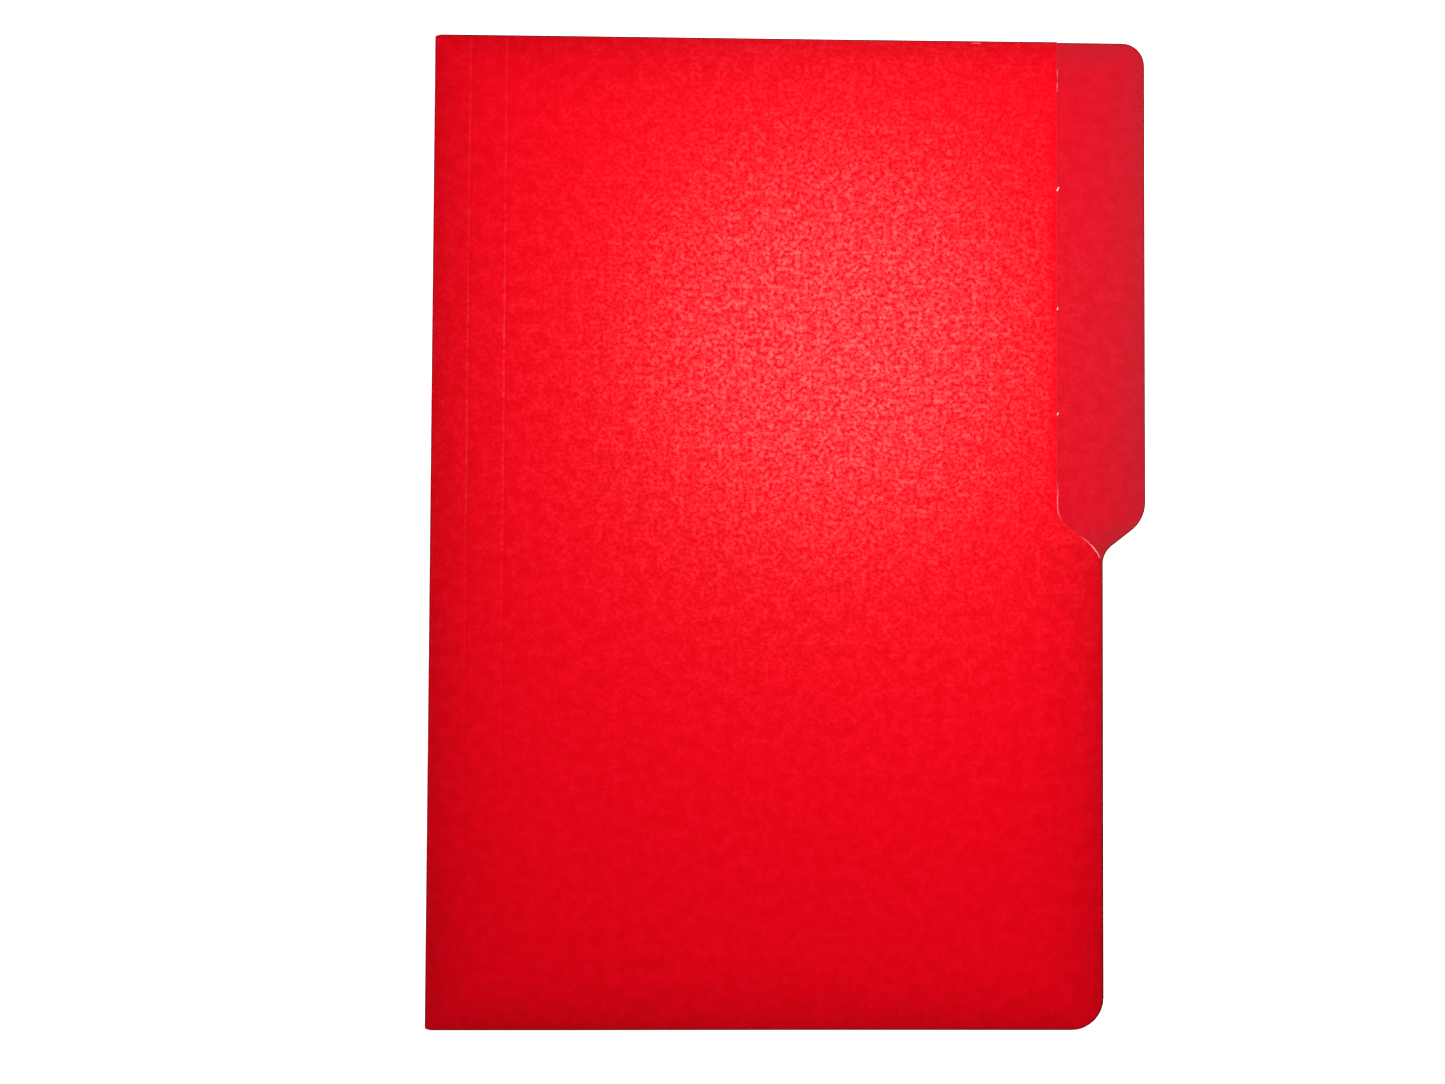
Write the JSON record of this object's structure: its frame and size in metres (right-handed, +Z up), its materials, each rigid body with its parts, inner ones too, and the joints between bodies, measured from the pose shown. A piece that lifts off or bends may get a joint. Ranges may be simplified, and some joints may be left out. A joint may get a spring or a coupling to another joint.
{
  "type": "file folder",
  "caption": "Half-cut card file folder, closed, with a rounded index tab along half its free edge and scored expansion lines beside the spine.",
  "frame": {"origin": "middle of the folder's outline, on the surface it lies on", "axes": "+X from the spine to the index tab, +Y along the spine towards the half that has the tab, +Z up out of the front cover"},
  "size_m": [0.25, 0.346, 0.0011],
  "materials": {
    "back_card": "matte",
    "cover_card": "satin",
    "crease_card": "satin"
  },
  "bodies": {
    "back": {"back_leaf": "back_card", "index_tab": "back_card"},
    "fold": {"spine_fold": "crease_card"},
    "inner_strip": {"inner_gusset": "cover_card", "inner_score": "crease_card"},
    "outer_strip": {"outer_gusset": "cover_card", "outer_score": "crease_card"},
    "cover": {"front_leaf": "cover_card"}
  },
  "joints": [
    {"name": "cover_opening", "type": "hinge", "parent": "back", "child": "inner_strip", "pos_m": [-0.12445, 0, 0.00055], "axis": [0, -1, 0], "range_deg": [0, 180]},
    {"name": "fold_unbending", "type": "hinge", "parent": "back", "child": "fold", "pos_m": [-0.12445, 0, 0.00055], "axis": [0, -1, 0], "range_deg": [0, 90]},
    {"name": "inner_score_bend", "type": "hinge", "parent": "inner_strip", "child": "outer_strip", "pos_m": [-0.1123, 0, 0.00095], "axis": [0, 1, 0], "range_deg": [-90, 0]},
    {"name": "outer_score_bend", "type": "hinge", "parent": "outer_strip", "child": "cover", "pos_m": [-0.0996, 0, 0.00095], "axis": [0, 1, 0], "range_deg": [-90, 0]}
  ],
  "couplings": [
    {"joint": "fold_unbending", "follows": "cover_opening", "ratio": 0.5}
  ]
}
